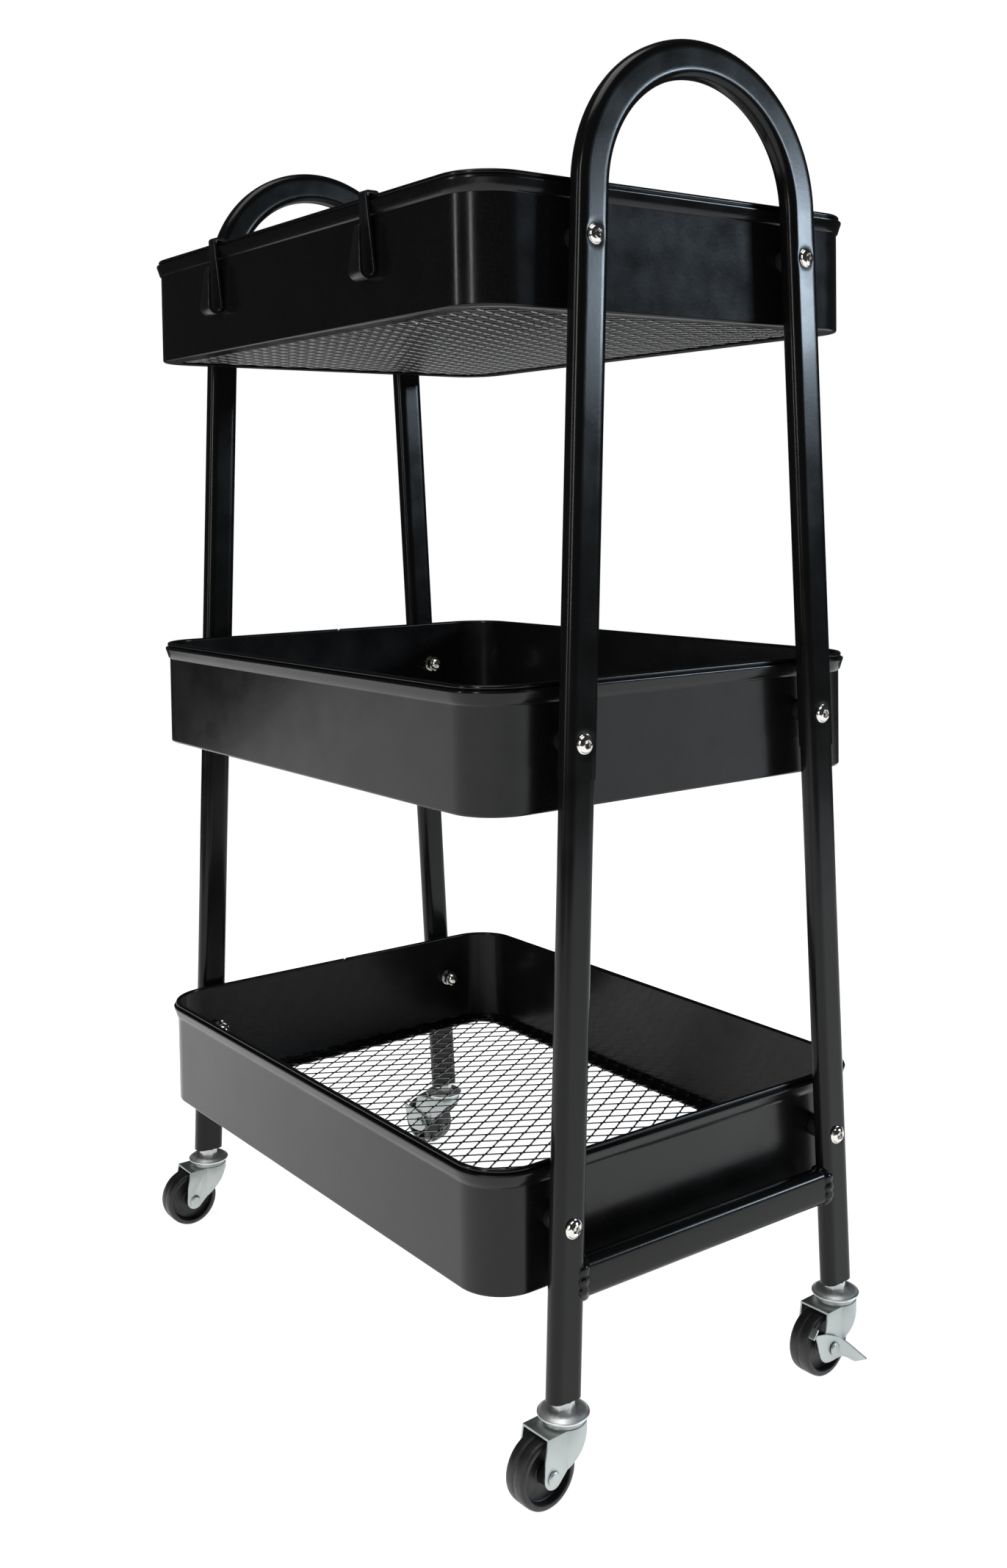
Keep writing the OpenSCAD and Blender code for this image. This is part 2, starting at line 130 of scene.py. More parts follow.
def arc_points(cx, cy, r, start, stop, steps):
    """Points on an arc, both ends included; angles in degrees."""
    out = []
    for i in range(steps + 1):
        a = math.radians(start + (stop - start) * i / steps)
        out.append((cx + r * math.cos(a), cy + r * math.sin(a)))
    return out


def rounded_outline(w, d, r, arc_steps=6, flat_steps=6):
    """Closed outline of a rounded rectangle, its flats divided too."""
    hw, hd = w / 2 - r, d / 2 - r
    corners = [(hw, hd, 0), (-hw, hd, 90), (-hw, -hd, 180), (hw, -hd, 270)]
    pts = []
    for i, (cx, cy, start) in enumerate(corners):
        arc = arc_points(cx, cy, r, start, start + 90, arc_steps)
        pts += arc
        nx, ny, turn = corners[(i + 1) % 4]
        nxt = arc_points(nx, ny, r, turn, turn, 1)[0]
        for k in range(1, flat_steps):
            t = k / flat_steps
            pts.append((arc[-1][0] * (1 - t) + nxt[0] * t, arc[-1][1] * (1 - t) + nxt[1] * t))
    return pts


def add_lathe(bm, profile, place, steps=48, close=True):
    """Revolves (radius, height) points about the local Z of the matrix place."""
    rings = []
    for i in range(steps):
        a = 2 * math.pi * i / steps
        rings.append([place @ Vector((r * math.cos(a), r * math.sin(a), h)) for r, h in profile])
    add_loft(bm, rings, loop_path=True, loop_ring=close)
    bmesh.ops.remove_doubles(bm, verts=bm.verts, dist=1e-6)


def along(axis, origin):
    """Matrix whose local Z runs along axis, from origin."""
    z = Vector(axis).normalized()
    turn = Vector((0, 0, 1)).rotation_difference(z).to_matrix().to_4x4()
    return Matrix.Translation(origin) @ turn


def softened(node, bevel, name=None, angle=30, segments=2):
    """A copy of a CAD node with its sharp edges rounded, standing for that node."""
    source = frame["nodes"][node]
    bm = bmesh.new()
    bm.from_mesh(source.data)
    bmesh.ops.remove_doubles(bm, verts=bm.verts, dist=2e-6)
    bmesh.ops.dissolve_limit(
        bm, angle_limit=math.radians(0.4), use_dissolve_boundaries=False, verts=bm.verts, edges=bm.edges
    )
    limit = math.radians(angle)
    sharp = [e for e in bm.edges if len(e.link_faces) == 2 and e.calc_face_angle(0) > limit]
    bmesh.ops.bevel(
        bm, geom=sharp, offset=bevel, offset_type="OFFSET", segments=segments, profile=0.5,
        affect="EDGES", clamp_overlap=True,
    )
    piece = finish_mesh(bm, name or f"{node}_finish", smooth_angle=angle)
    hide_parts(node)
    return piece


def settle(piece, body, material):
    """Gives a piece its body and its material."""
    piece.data.materials.clear()
    piece.data.materials.append(material)
    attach(piece, body)
    return piece


# ---- materials ----

def new_material(name):
    mat = bpy.data.materials.new(name)
    mat.use_nodes = True
    nodes = mat.node_tree.nodes
    shader = next(n for n in nodes if n.type == "BSDF_PRINCIPLED")
    return mat, nodes, mat.node_tree.links, shader


def noise(nodes, links, scale, detail=2.0, roughness=0.5, stretch=None):
    """Noise in object space, scale in waves per metre."""
    coord = nodes.new("ShaderNodeTexCoord")
    tex = nodes.new("ShaderNodeTexNoise")
    tex.inputs["Scale"].default_value = scale
    tex.inputs["Detail"].default_value = detail
    tex.inputs["Roughness"].default_value = roughness
    if stretch:
        mapping = nodes.new("ShaderNodeMapping")
        mapping.inputs["Scale"].default_value = stretch
        links.new(coord.outputs["Object"], mapping.inputs["Vector"])
        links.new(mapping.outputs["Vector"], tex.inputs["Vector"])
    else:
        links.new(coord.outputs["Object"], tex.inputs["Vector"])
    return tex


def ramp(nodes, links, source, stops):
    """Colour ramp fed by a value; stops are (position, colour)."""
    node = nodes.new("ShaderNodeValToRGB")
    elements = node.color_ramp.elements
    while len(elements) < len(stops):
        elements.new(0.5)
    for element, (position, colour) in zip(elements, stops):
        element.position = position
        element.color = (*colour, 1)
    links.new(source, node.inputs["Fac"])
    return node


def remap(nodes, links, source, low, high, start=0.0, stop=1.0):
    """Value remapped from start..stop to low..high."""
    node = nodes.new("ShaderNodeMapRange")
    node.inputs["From Min"].default_value = start
    node.inputs["From Max"].default_value = stop
    node.inputs["To Min"].default_value = low
    node.inputs["To Max"].default_value = high
    links.new(source, node.inputs["Value"])
    return node


def bump(nodes, links, height, distance, strength, under=None):
    node = nodes.new("ShaderNodeBump")
    node.inputs["Distance"].default_value = distance
    node.inputs["Strength"].default_value = strength
    links.new(height, node.inputs["Height"])
    if under:
        links.new(under.outputs["Normal"], node.inputs["Normal"])
    return node


def powder_coat(name, colour, flake, peel=0.5, specular=0.2, coat=0.06):
    """Gloss black powder coat: orange peel, a fine flake and slightly uneven gloss."""
    mat, nodes, links, shader = new_material(name)
    tint = noise(nodes, links, 9, detail=3)
    dark = tuple(c * 0.88 for c in colour)
    light = tuple(c * 1.12 for c in colour)
    base = ramp(nodes, links, tint.outputs["Fac"], [(0.3, dark), (0.7, light)])
    coord = nodes.new("ShaderNodeTexCoord")
    cells = nodes.new("ShaderNodeTexVoronoi")
    cells.inputs["Scale"].default_value = 1500
    links.new(coord.outputs["Object"], cells.inputs["Vector"])
    spark = ramp(nodes, links, cells.outputs["Distance"], [(0.0, (1, 1, 1)), (0.16, (0, 0, 0))])
    mix = nodes.new("ShaderNodeMix")
    mix.data_type = "RGBA"
    mix.inputs["B"].default_value = (*flake, 1)
    links.new(spark.outputs["Color"], mix.inputs["Factor"])
    links.new(base.outputs["Color"], mix.inputs["A"])
    links.new(mix.outputs["Result"], shader.inputs["Base Color"])
    gloss = noise(nodes, links, 45, detail=3)
    rough = remap(nodes, links, gloss.outputs["Fac"], 0.17, 0.25, 0.3, 0.7)
    links.new(rough.outputs["Result"], shader.inputs["Roughness"])
    waves = noise(nodes, links, 420, detail=1.5)
    fine = noise(nodes, links, 1700, detail=1)
    first = bump(nodes, links, waves.outputs["Fac"], 0.00006, peel)
    second = bump(nodes, links, fine.outputs["Fac"], 0.00002, 0.3, under=first)
    links.new(second.outputs["Normal"], shader.inputs["Normal"])
    shader.inputs["Specular IOR Level"].default_value = specular
    shader.inputs["Coat Weight"].default_value = coat
    shader.inputs["Coat Roughness"].default_value = 0.06
    return mat


def plated(name, light, dark, rough_low, rough_high, cloud=60, brush=None):
    """Plated steel: clouded tint, uneven gloss and a faint stamped or brushed grain."""
    mat, nodes, links, shader = new_material(name)
    clouds = noise(nodes, links, cloud, detail=4)
    tint = ramp(nodes, links, clouds.outputs["Fac"], [(0.3, dark), (0.68, light)])
    links.new(tint.outputs["Color"], shader.inputs["Base Color"])
    shader.inputs["Metallic"].default_value = 1.0
    wear = noise(nodes, links, cloud * 4, detail=3)
    rough = remap(nodes, links, wear.outputs["Fac"], rough_low, rough_high, 0.3, 0.7)
    links.new(rough.outputs["Result"], shader.inputs["Roughness"])
    grain = noise(nodes, links, 900, detail=2, stretch=brush)
    normal = bump(nodes, links, grain.outputs["Fac"], 0.00001, 0.25)
    links.new(normal.outputs["Normal"], shader.inputs["Normal"])
    return mat


def moulded(name, colour, rough_low, rough_high, grain_scale=1300):
    """Moulded black plastic: fine grain and slightly scuffed gloss."""
    mat, nodes, links, shader = new_material(name)
    clouds = noise(nodes, links, 70, detail=3)
    dark = tuple(c * 0.75 for c in colour)
    tint = ramp(nodes, links, clouds.outputs["Fac"], [(0.3, dark), (0.7, colour)])
    links.new(tint.outputs["Color"], shader.inputs["Base Color"])
    scuff = noise(nodes, links, 200, detail=4)
    rough = remap(nodes, links, scuff.outputs["Fac"], rough_low, rough_high, 0.3, 0.7)
    links.new(rough.outputs["Result"], shader.inputs["Roughness"])
    grain = noise(nodes, links, grain_scale, detail=2)
    normal = bump(nodes, links, grain.outputs["Fac"], 0.00005, 0.35)
    links.new(normal.outputs["Normal"], shader.inputs["Normal"])
    return mat


FRAME_PAINT = powder_coat("frame_powder_coat", (0.0042, 0.0042, 0.0038), (0.02, 0.024, 0.028), peel=0.2)
TRAY_PAINT = powder_coat(
    "tray_powder_coat", (0.0038, 0.0038, 0.0036), (0.08, 0.1, 0.14), peel=0.3, specular=0.26,
)
MESH_PAINT = powder_coat(
    "mesh_powder_coat", (0.004, 0.004, 0.004), (0.015, 0.018, 0.02), peel=0.2, specular=0.6, coat=0.4,
)
NICKEL = plated("bright_nickel", (0.72, 0.70, 0.66), (0.64, 0.62, 0.58), 0.08, 0.16, cloud=150)
ZINC = plated("blue_zinc", (0.47, 0.505, 0.49), (0.4, 0.435, 0.425), 0.36, 0.48, cloud=45)
RACE_ZINC = plated("race_zinc", (0.84, 0.85, 0.83), (0.7, 0.72, 0.71), 0.4, 0.52, cloud=60)
STEEL = plated("polished_steel", (0.8, 0.8, 0.8), (0.7, 0.7, 0.7), 0.05, 0.12)
NYLON = moulded("black_nylon", (0.008, 0.008, 0.008), 0.4, 0.55)
WHEEL_PLASTIC = moulded("wheel_plastic", (0.0085, 0.0083, 0.0078), 0.38, 0.52)
HOOK_PLASTIC = moulded("hook_plastic", (0.005, 0.005, 0.005), 0.24, 0.38)

# ---- camera ----

# The photograph's view: camera place, its turn about Z, its pitch and its roll
CAMERA_AT = Vector((0.8712, -0.6226, 0.5292))
CAMERA_TURN = math.radians(53.65)
CAMERA_PITCH = math.radians(-2.5)
CAMERA_ROLL = math.radians(-0.82)
LENS_MM = 36.78
SHIFT_Y = -0.134


def add_camera():
    look = Vector((
        -math.sin(CAMERA_TURN) * math.cos(CAMERA_PITCH),
        math.cos(CAMERA_TURN) * math.cos(CAMERA_PITCH),
        math.sin(CAMERA_PITCH),
    ))
    right = Vector((math.cos(CAMERA_TURN), math.sin(CAMERA_TURN), 0))
    up = right.cross(look)
    c, s = math.cos(CAMERA_ROLL), math.sin(CAMERA_ROLL)
    x_axis = c * right + s * up
    y_axis = c * up - s * right
    data = bpy.data.cameras.new("camera")
    data.sensor_width = 36
    data.lens = LENS_MM
    data.shift_y = SHIFT_Y
    data.clip_end = 60
    camera = bpy.data.objects.new("camera", data)
    turn = Matrix((x_axis, y_axis, -look)).transposed().to_4x4()
    camera.matrix_world = Matrix.Translation(CAMERA_AT) @ turn
    bpy.context.scene.collection.objects.link(camera)
    bpy.context.scene.camera = camera


add_camera()

# ---- trays ----

def tray_outline(half_x, half_y, radius, arc_steps=16):
    """Closed path round a tray: (x, y, normal x, normal y), with extra points at the weld seam."""
    cx, cy = half_x - radius, half_y - radius
    path = []
    for px, py, start in [(cx, cy, 0), (-cx, cy, 90), (-cx, -cy, 180), (cx, -cy, 270)]:
        for i in range(arc_steps + 1):
            a = math.radians(start + 90 * i / arc_steps)
            nx, ny = math.cos(a), math.sin(a)
            path.append((px + radius * nx, py + radius * ny, nx, ny))
        if start == 90:
            path += [(-half_x, SEAM_Y + dy, -1, 0) for dy in SEAM_STEPS]
    return path


SEAM_Y = 7 * MM
SEAM_STEPS = [s * MM for s in (6, 2.2, 1.3, 0.8, 0.3, 0, -0.3, -0.8, -1.3, -2.2, -6)]
NOTCH_HALF = 1.0 * MM
NOTCH_DEEP = 1.7 * MM


def tray_section(height):
    """Closed section of the tray sheet: (outwards, up), in metres, from the flange's inner edge."""
    h = height / MM
    flange = 13
    bend = arc_points(-1.6, 1.6, 1.6, -90, 0, 4)
    bead = arc_points(0.25, h - 1.35, 1.35, -50, 180, 12)
    inner_bend = arc_points(-1.7, 1.7, 0.7, 0, -90, 3)
    pts = [(-flange, 0)] + bend
    pts += [(0, h - 11.6), (0.15, h - 11.1), (0.75, h - 10.6), (1.05, h - 10.2)]
    pts += [(1.9, h - 7.4), (2.75, h - 4.9), (3.0, h - 4.1), (2.85, h - 3.5), (2.3, h - 3.15)]
    pts += [(1.4, h - 3.0), (0.9, h - 2.75)]
    pts += bead + [(-1.08, h - 2.2), (-1.0, h - 3.2)]
    pts += inner_bend + [(-flange, 1), (-flange, 0.5)]
    return [(u * MM, z * MM) for u, z in pts]


def build_tray(level):
    lo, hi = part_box(f"tray_shell_{level}")
    half_x, half_y = hi.x - RIM_OUT, hi.y - RIM_OUT
    height = hi.z - lo.z
    section = tray_section(height)
    bm = bmesh.new()
    rings = []
    for x, y, nx, ny in tray_outline(half_x, half_y, CORNER_R):
        at_seam = nx == -1 and abs(y - SEAM_Y) < 3 * MM
        ring = []
        for u, z in section:
            out, up = u, z
            if at_seam:
                off = abs(y - SEAM_Y)
                proud = max(0.0, 1 - off / (1.4 * MM)) * 0.25 * MM
                if 3 * MM < z < height - 12 * MM:
                    out += proud if u > -0.5 * MM else -proud
                if z > height - 4 * MM:
                    up -= NOTCH_DEEP * max(0.0, 1 - off / NOTCH_HALF) * (z - height + 4 * MM) / (4 * MM)
            ring.append(Vector((x + out * nx, y + out * ny, lo.z + up)))
        rings.append(ring)
    add_loft(bm, rings, loop_path=True)
    piece = finish_mesh(bm, f"tray_{level}_sheet", smooth_angle=40)
    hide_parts(f"tray_shell_{level}")
    settle(piece, "cart", TRAY_PAINT)


# Expanded metal: pitch of the diamonds along X and along Y, and the strand's width
DIAMOND_X = 12.8 * MM
DIAMOND_Y = 20.9 * MM
STRAND = 1.5 * MM
# How far a strand's edges tip up or down, as a share of the floor's thickness
STRAND_LEAN = 0.22


def clamp_to_outline(x, y, half_x, half_y, radius):
    """Pulls a point back inside a rounded rectangle."""
    x = max(-half_x, min(half_x, x))
    y = max(-half_y, min(half_y, y))
    cx, cy = half_x - radius, half_y - radius
    dx, dy = abs(x) - cx, abs(y) - cy
    if dx > 0 and dy > 0 and math.hypot(dx, dy) > radius:
        k = radius / math.hypot(dx, dy)
        x = math.copysign(cx + dx * k, x)
        y = math.copysign(cy + dy * k, y)
    return x, y


def diamond_rings():
    """One cell as matching rings: shared outline and hole, the hole's ends rounded by the bond."""
    hx, hy = DIAMOND_X / 2, DIAMOND_Y / 2
    edge = math.hypot(hx, hy)
    inset = STRAND / 2
    kx = inset * edge / hy
    ky = inset * edge / hx
    outer, inner = [], []
    corners = [(hx, 0), (0, hy), (-hx, 0), (0, -hy)]
    holes = [(hx - kx, 0), (0, hy - ky), (-hx + kx, 0), (0, -hy + ky)]
    for i in range(4):
        ax, ay = corners[i]
        bx, by = corners[(i + 1) % 4]
        px, py = holes[i]
        qx, qy = holes[(i + 1) % 4]
        for t, s in ((0.0, 0.0), (0.07, 0.09), (0.5, 0.5), (0.93, 0.91)):
            outer.append((ax + (bx - ax) * t, ay + (by - ay) * t))
            shrink = 0.93 if t == 0.0 else 1.0
            inner.append(((px + (qx - px) * s) * shrink, (py + (qy - py) * s) * shrink))
    return outer, inner


def build_floor(level):
    """Expanded-metal floor: every cell is a ring of leaning strand, open in the middle."""
    node = f"mesh_floor_{level}"
    lo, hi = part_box(node)
    half_x, half_y = hi.x, hi.y
    radius = CORNER_R - SHEET
    outer, inner = diamond_rings()
    thick = hi.z - lo.z
    bm = bmesh.new()
    columns = int(half_x / DIAMOND_X) + 2
    rows = int(half_y / DIAMOND_Y) + 2
    for i in range(-2 * columns, 2 * columns + 1):
        for j in range(-2 * rows, 2 * rows + 1):
            if (i + j) % 2:
                continue
            cx, cy = i * DIAMOND_X / 2, j * DIAMOND_Y / 2
            inside = clamp_to_outline(cx, cy, half_x - 1.5 * MM, half_y - 1.5 * MM, radius)
            if math.hypot(inside[0] - cx, inside[1] - cy) > 1e-6:
                continue
            layers = []
            for ring, z, lean in (
                (outer, 1, 0), (inner, 0.72, STRAND_LEAN), (inner, 0.24, STRAND_LEAN), (outer, 0, 0),
            ):
                layer = []
                for x, y in ring:
                    gx, gy = clamp_to_outline(cx + x, cy + y, half_x, half_y, radius)
                    tilt = -lean * max(-1.0, min(1.0, x / (STRAND / 2)))
                    layer.append(Vector((gx, gy, lo.z + thick * (z + tilt))))
                layers.append(layer)
            add_loft(bm, layers)
    bmesh.ops.remove_doubles(bm, verts=bm.verts, dist=2e-5)
    piece = finish_mesh(bm, f"{node}_expanded", smooth_angle=60)
    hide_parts(node)
    settle(piece, "cart", MESH_PAINT)


for level in LEVELS:
    build_tray(level)
    build_floor(level)

# ---- end frames ----

DIMPLE_R = 9 * MM
DIMPLE_DEEP = 0.7 * MM
HEAD_SINK = 0.45 * MM


def dimpled(point, outer_x, bolts, end):
    """Presses the outer face of a tube in a little round each bolt."""
    if abs(abs(point.x) - outer_x) > 0.6 * MM:
        return point
    for by, bz in bolts:
        off = math.hypot(point.y - by, point.z - bz)
        if off < DIMPLE_R:
            depth = DIMPLE_DEEP * (0.5 + 0.5 * math.cos(math.pi * off / DIMPLE_R))
            return Vector((point.x - end * depth, point.y, point.z))
    return point


def tube_piece(name, node, stations, width, depth, end, bolts):
    """Painted tube along stations of (y, z, normal y, normal z), open at both ends."""
    outer = rounded_outline(width, depth, TUBE_R, arc_steps=6, flat_steps=8)
    inner = rounded_outline(width - 2 * TUBE_WALL, depth - 2 * TUBE_WALL, TUBE_R - TUBE_WALL, 6, 8)
    outer_x = FRAME_X + depth / 2
    bm = bmesh.new()

    def ring(outline, station):
        y, z, ny, nz = station
        return [Vector((end * (FRAME_X + b), y + a * ny, z + a * nz)) for a, b in outline]

    rings = [[dimpled(p, outer_x, bolts, end) for p in ring(outer, s)] for s in stations]
    deep = 3
    first_in = [ring(inner, s) for s in stations[:deep]]
    last_in = [ring(inner, s) for s in stations[-deep:]]
    add_loft(bm, list(reversed(first_in)) + rings + list(reversed(last_in)))
    piece = finish_mesh(bm, name, smooth_angle=50)
    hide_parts(node)
    settle(piece, "cart", FRAME_PAINT)


def leg_stations(side, z0, z1, bolts):
    """Stations up one leg, close together near bolts and near both ends."""
    heights = [z0, z0 + 0.6 * MM, z0 + 4 * MM]
    steps = 14
    heights += [z0 + (z1 - z0) * i / steps for i in range(1, steps)]
    for _, bz in bolts:
        heights += [bz + k * 1.5 * MM for k in range(-7, 8)]
    heights += [z1 - 4 * MM, z1 - 0.6 * MM, z1]
    heights = sorted(h for h in heights if z0 <= h <= z1)
    kept = [heights[0]]
    for h in heights[1:]:
        if h - kept[-1] > 0.4 * MM:
            kept.append(h)
    ny, nz = side * math.cos(LEAN), math.sin(LEAN)
    return [(side * leg_at(h), h, ny, nz) for h in kept]


def build_arch(end_name):
    end = ENDS[end_name]
    crown_z = arch_hi.z - TUBE_W / 2
    radius = leg_at(crown_z) * math.cos(LEAN) / (1 - math.sin(LEAN))
    arc_z = crown_z - radius
    arc_end = arc_z + radius * math.sin(LEAN)
    mid_y, mid_z = bolt_place("middle")
    front = leg_stations(-1, SEAM_Z, arc_end, [(0, mid_z), (0, high_z)])
    rear = leg_stations(1, SEAM_Z, arc_end, [(0, mid_z), (0, high_z)])
    steps = 72
    bow = []
    for i in range(1, steps):
        a = math.pi - LEAN - (math.pi - 2 * LEAN) * i / steps
        bow.append((radius * math.cos(a), arc_z + radius * math.sin(a), math.cos(a), math.sin(a)))
    bolts = [(s * y, z) for s in (-1, 1) for y, z in ((mid_y, mid_z), (high_y, high_z))]
    tube_piece(
        f"handle_tube_{end_name}", f"handle_arch_{end_name}", front + bow + list(reversed(rear)),
        TUBE_W, TUBE_D, end, bolts,
    )


def build_leg(side_name, end_name):
    side, end = SIDES[side_name], ENDS[end_name]
    bolts = [(side * low_y, low_z)]
    tube_piece(
        f"leg_tube_{side_name}_{end_name}", f"lower_leg_{side_name}_{end_name}",
        leg_stations(side, LEG_END, SEAM_Z + 0.5 * MM, bolts), LOWER_W, LOWER_D, end, bolts,
    )


def build_crossbar(end_name):
    end = ENDS[end_name]
    outline = rounded_outline(TUBE_W, LOWER_D, TUBE_R, arc_steps=6, flat_steps=3)
    bar_z = (bar_lo.z + bar_hi.z) / 2
    rings = []
    steps = 12
    for i in range(steps + 1):
        t = -1 + 2 * i / steps
        ring = []
        for a, b in outline:
            z = bar_z + a
            reach = leg_at(z) - LOWER_W / 2
            ring.append(Vector((end * (FRAME_X + b), t * reach, z)))
        rings.append(ring)
    bm = bmesh.new()
    add_loft(bm, rings, caps=True)
    piece = finish_mesh(bm, f"crossbar_tube_{end_name}", smooth_angle=50)
    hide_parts(f"crossbar_{end_name}")
    settle(piece, "cart", FRAME_PAINT)


def build_weld(side_name, end_name):
    """Painted weld bead round the end of a crossbar, rippled as it was laid."""
    side, end = SIDES[side_name], ENDS[end_name]
    rng = random.Random(f"{side_name}{end_name}")
    bar_z = (bar_lo.z + bar_hi.z) / 2
    outline = rounded_outline(TUBE_W, LOWER_D, TUBE_R, arc_steps=9, flat_steps=16)
    rings = []
    count = len(outline)
    for i, (a, b) in enumerate(outline):
        z = bar_z + a
        ripple = 0.38 * math.sin(i * 2 * math.pi * 14 / count) + rng.uniform(-0.16, 0.16)
        swell = 2.1 + ripple
        reach = leg_at(z) - LOWER_W / 2
        length = max(abs(a) / (TUBE_W / 2), abs(b) / (LOWER_D / 2))
        side_gap = max(0.0, (abs(b) - (LOWER_D / 2 - TUBE_R)) / TUBE_R)
        shift = 2.2 * side_gap * side_gap * MM
        norm = Vector((b, a)).normalized()
        ring = []
        for k in range(10):
            t = 2 * math.pi * k / 10
            out = swell * math.cos(t) * MM * 0.8
            run = (swell + 1.2 * side_gap) * math.sin(t) * MM * 1.1
            ring.append(Vector((
                end * (FRAME_X + b + norm.x * (out - 0.3 * MM)),
                side * (reach - 0.3 * MM + shift + run),
                z + norm.y * (out - 0.3 * MM) * length,
            )))
        rings.append(ring)
    bm = bmesh.new()
    add_loft(bm, rings, loop_path=True)
    piece = finish_mesh(bm, f"weld_{side_name}_{end_name}", smooth_angle=80)
    settle(piece, "cart", FRAME_PAINT)


for end_name in ENDS:
    build_arch(end_name)
    build_crossbar(end_name)
for side_name, end_name in CORNERS:
    build_leg(side_name, end_name)
    build_weld(side_name, end_name)

# ---- fasteners ----

def hexagon_radius(angle, flats):
    """Distance from the centre to a hexagon's edge in that direction."""
    step = math.pi / 3
    local = (angle % step) - step / 2
    return flats / 2 / math.cos(local)


def add_button_bolt(bm, place):
    """Button head with a rolled rim, a domed crown and a hexagon socket; Z points out of the tube."""
    profile = [(3.0, -8), (3.0, 0.0), (5.3, 0.0), (5.5, 0.25), (5.5, 0.75), (5.3, 1.0)]
    profile += [(4.95, 1.1), (4.75, 1.3)]
    profile += [(4.75 * math.cos(a), 1.3 + 1.95 * math.sin(a)) for a in (0.25, 0.5, 0.75, 0.95)]
    steps = 48
    rings = []
    for i in range(steps):
        a = 2 * math.pi * i / steps
        ring = [(r, h) for r, h in profile]
        flats = hexagon_radius(a, 4.0)
        ring += [(flats + 0.35, 3.1), (flats + 0.05, 2.95), (flats, 2.6), (flats, 1.3), (0.2, 0.9)]
        rings.append([
            place @ Vector((r * MM * math.cos(a), r * MM * math.sin(a), h * MM)) for r, h in ring
        ])
    add_loft(bm, rings, loop_path=True, loop_ring=False)


# A bolt's shank: its radius, its length and how far inside the tube's face it starts
SHANK_R = 3 * MM
SHANK_LENGTH = 16 * MM
SHANK_DEEP = 22 * MM


def build_bolts(level):
    node = f"tray_bolts_{level}"
    by, bz = bolt_place(level)
    face = FRAME_X + (LOWER_D if level == "bottom" else TUBE_D) / 2 - HEAD_SINK
    bm = bmesh.new()
    for end in (-1, 1):
        for side in (-1, 1):
            place = along((end, 0, 0), Vector((end * face, side * by, bz)))
            spin = Matrix.Rotation(0.35 * (side + 2 * end + LEVELS.index(level)), 4, "Z")
            add_button_bolt(bm, place @ spin)
            shank = along((end, 0, 0), Vector((end * (face - SHANK_DEEP), side * by, bz)))
            rod = [(0.0, 0), (SHANK_R, 0), (SHANK_R, SHANK_LENGTH), (0.0, SHANK_LENGTH)]
            add_lathe(bm, rod, shank, 24, close=False)
    piece = finish_mesh(bm, f"{node}_button_head", smooth_angle=35)
    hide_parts(node)
    settle(piece, "cart", NICKEL)


for level in LEVELS:
    build_bolts(level)
    settle(softened(f"acorn_nuts_{level}", 0.25 * MM), "cart", NICKEL)
settle(softened("nut_washers", 0.15 * MM), "cart", NICKEL)
settle(softened("frame_spacers", 0.3 * MM), "cart", NYLON)
settle(softened("caster_sockets", 0.3 * MM), "cart", NYLON)

# ---- casters ----

def joint(name):
    return next(j for j in frame["joints"] if j["name"] == name)


def build_wheel(corner):
    """Moulded wheel: crowned tread with a parting line, rounded shoulders, recessed web and hub."""
    roll = joint(f"roll_{corner}")
    lo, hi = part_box(f"wheel_{corner}")
    radius = (hi.z - lo.z) / 2 / MM
    half = 7.25
    hub_half = 9.0
    side = [(2.56, hub_half), (4.9, hub_half), (5.3, hub_half - 0.4), (5.4, 3.0), (5.9, 2.6)]
    side += [(radius - 4.6, 2.6), (radius - 4.0, 3.1), (radius - 3.7, half - 0.5), (radius - 3.2, half)]
    side += [(radius - 1.9, half), (radius - 1.0, half - 0.35), (radius - 0.4, half - 1.0)]
    side += [(radius - 0.12, half - 2.2), (radius, half - 4.5), (radius, 0.45), (radius - 0.22, 0.1)]
    profile = [(r * MM, h * MM) for r, h in side]
    profile += [(r, -h) for r, h in reversed(profile)]
    bm = bmesh.new()
    add_lathe(bm, profile, along(roll["axis"], Vector(roll["pos_m"])), steps=96)
    piece = finish_mesh(bm, f"wheel_{corner}_moulding", smooth_angle=35)
    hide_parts(f"wheel_{corner}")
    settle(piece, f"wheel_{corner}", WHEEL_PLASTIC)


# Brake lever's sheet in mm from its axle: (towards the stem, top edge, bottom edge), where an
# edge is (outwards, up)
LEVER_SHEET = [
    (-15.6, (0, 12.7), (0, 11.2)), (-14.6, (0, 12.6), (0, 7.6)), (-13.2, (0, 12.3), (0, 2.2)),
    (-11.8, (0, 12.0), (0, -2.2)), (-10.0, (0, 11.6), (0, -4.8)), (-7.6, (0, 11.0), (0, -6.4)),
    (-4.5, (0, 9.8), (0, -7.1)), (-1.0, (0, 8.2), (0, -7.3)), (2.4, (0, 6.6), (0, -7.2)),
    (4.8, (0.5, 5.2), (0, -7.2)), (6.8, (1.7, 3.9), (0, -7.4)), (8.8, (3.8, 2.0), (0.2, -7.9)),
    (11.0, (6.6, -0.8), (0.8, -8.9)), (13.2, (9.6, -3.8), (1.8, -10.3)), (15.2, (12.3, -6.4), (3.0, -11.7)),
    (15.7, (12.8, -6.9), (3.4, -12.0)),
]
LEVER_THICK_MM = 1.2
# Shoe: its distance from the axle, its turn from upright, its width and its reach past the leaf.
# The reach is shorter than the CAD's, since the photograph shows no shoe on the tread.
SHOE_R_MM = 19.6
SHOE_TURN_DEG = 50
SHOE_W_MM = 6.4
SHOE_REACH_MM = 3.5


